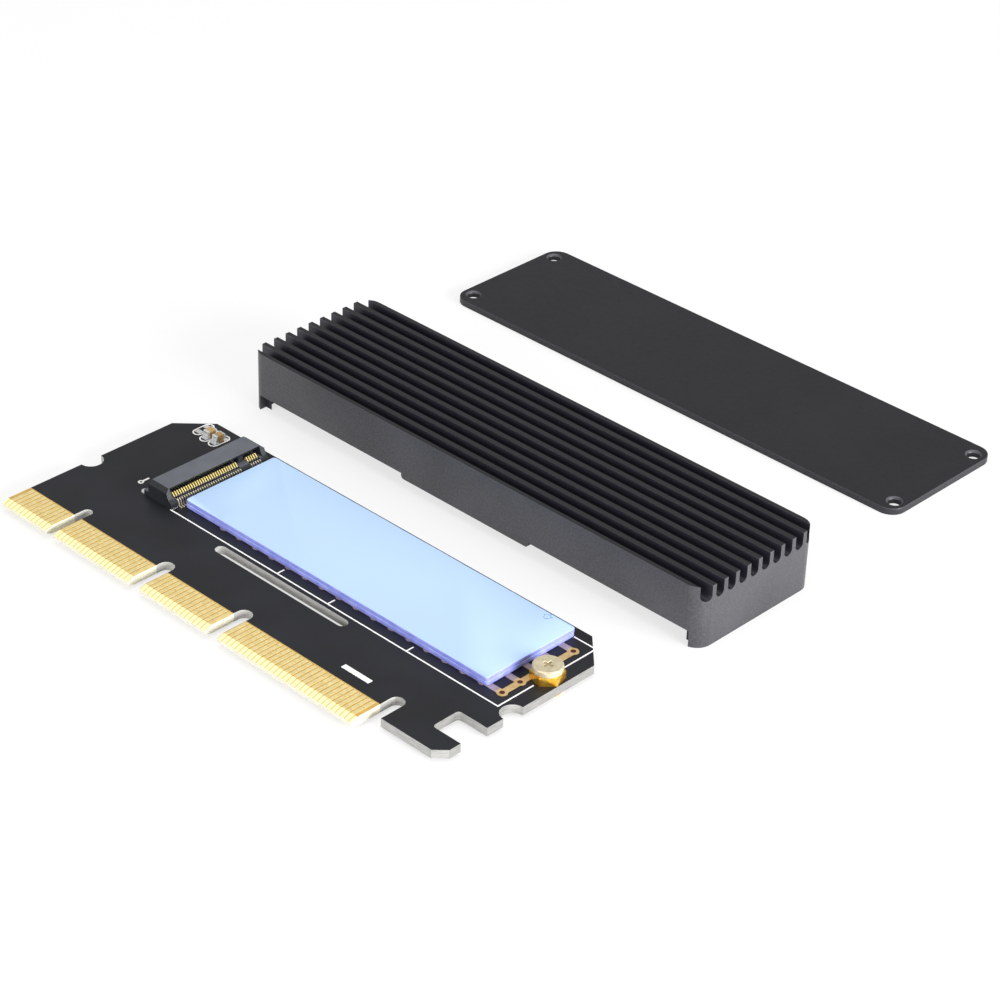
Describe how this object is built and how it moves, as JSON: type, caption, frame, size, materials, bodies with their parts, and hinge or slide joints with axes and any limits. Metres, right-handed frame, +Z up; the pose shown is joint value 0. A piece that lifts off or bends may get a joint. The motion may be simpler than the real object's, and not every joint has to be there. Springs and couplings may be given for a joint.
{
  "type": "nvme adapter card",
  "caption": "Edge-connector riser card with a plug-in module socket, thermal pad and standoff, with its finned heatsink housing and flat cover plate laid beside it.",
  "frame": {"origin": "middle of the bounding box of the card and its two casings, on the surface that they lie on", "axes": "+X along the card's edge connector from its short end to its retention tab, +Y from the contacts across the card towards the two casings, +Z up"},
  "size_m": [0.1084, 0.1364, 0.0115],
  "materials": {
    "circuit_board": "black solder mask over pale glass-fibre laminate",
    "edge_contacts_top": "gold plated, satin",
    "edge_contacts_bottom": "gold plated, satin",
    "copper_grid": "gold-plated copper, satin",
    "socket_housing": "black moulded plastic",
    "socket_lower_contacts": "gold plated, polished",
    "socket_upper_contacts": "gold plated, polished",
    "socket_anchors": "tinned",
    "thermal_pad_lower": "soft silicone, matte",
    "thermal_pad_upper": "soft silicone under a smooth film",
    "standoff": "turned, bright",
    "module_screw": "nickel plated",
    "capacitor_bodies": "brown ceramic",
    "capacitor_terminals": "tinned",
    "capacitor_solder": "bright solder",
    "solder_pads": "tinned",
    "ink_module_outline": "white print",
    "ink_marks": "white print",
    "heatsink_housing": "black anodised, fine satin",
    "cover_plate": "black anodised, fine satin"
  },
  "bodies": {
    "root": {"circuit_board": "circuit_board", "edge_contacts_top": "edge_contacts_top", "edge_contacts_bottom": "edge_contacts_bottom", "copper_grid": "copper_grid", "socket_housing": "socket_housing", "socket_lower_contacts": "socket_lower_contacts", "socket_upper_contacts": "socket_upper_contacts", "socket_anchors": "socket_anchors", "thermal_pad_lower": "thermal_pad_lower", "thermal_pad_upper": "thermal_pad_upper", "standoff": "standoff", "module_screw": "module_screw", "capacitor_bodies": "capacitor_bodies", "capacitor_terminals": "capacitor_terminals", "capacitor_solder": "capacitor_solder", "solder_pads": "solder_pads", "ink_module_outline": "ink_module_outline", "ink_marks": "ink_marks", "heatsink_housing": "heatsink_housing", "cover_plate": "cover_plate"}
  },
  "joints": []
}
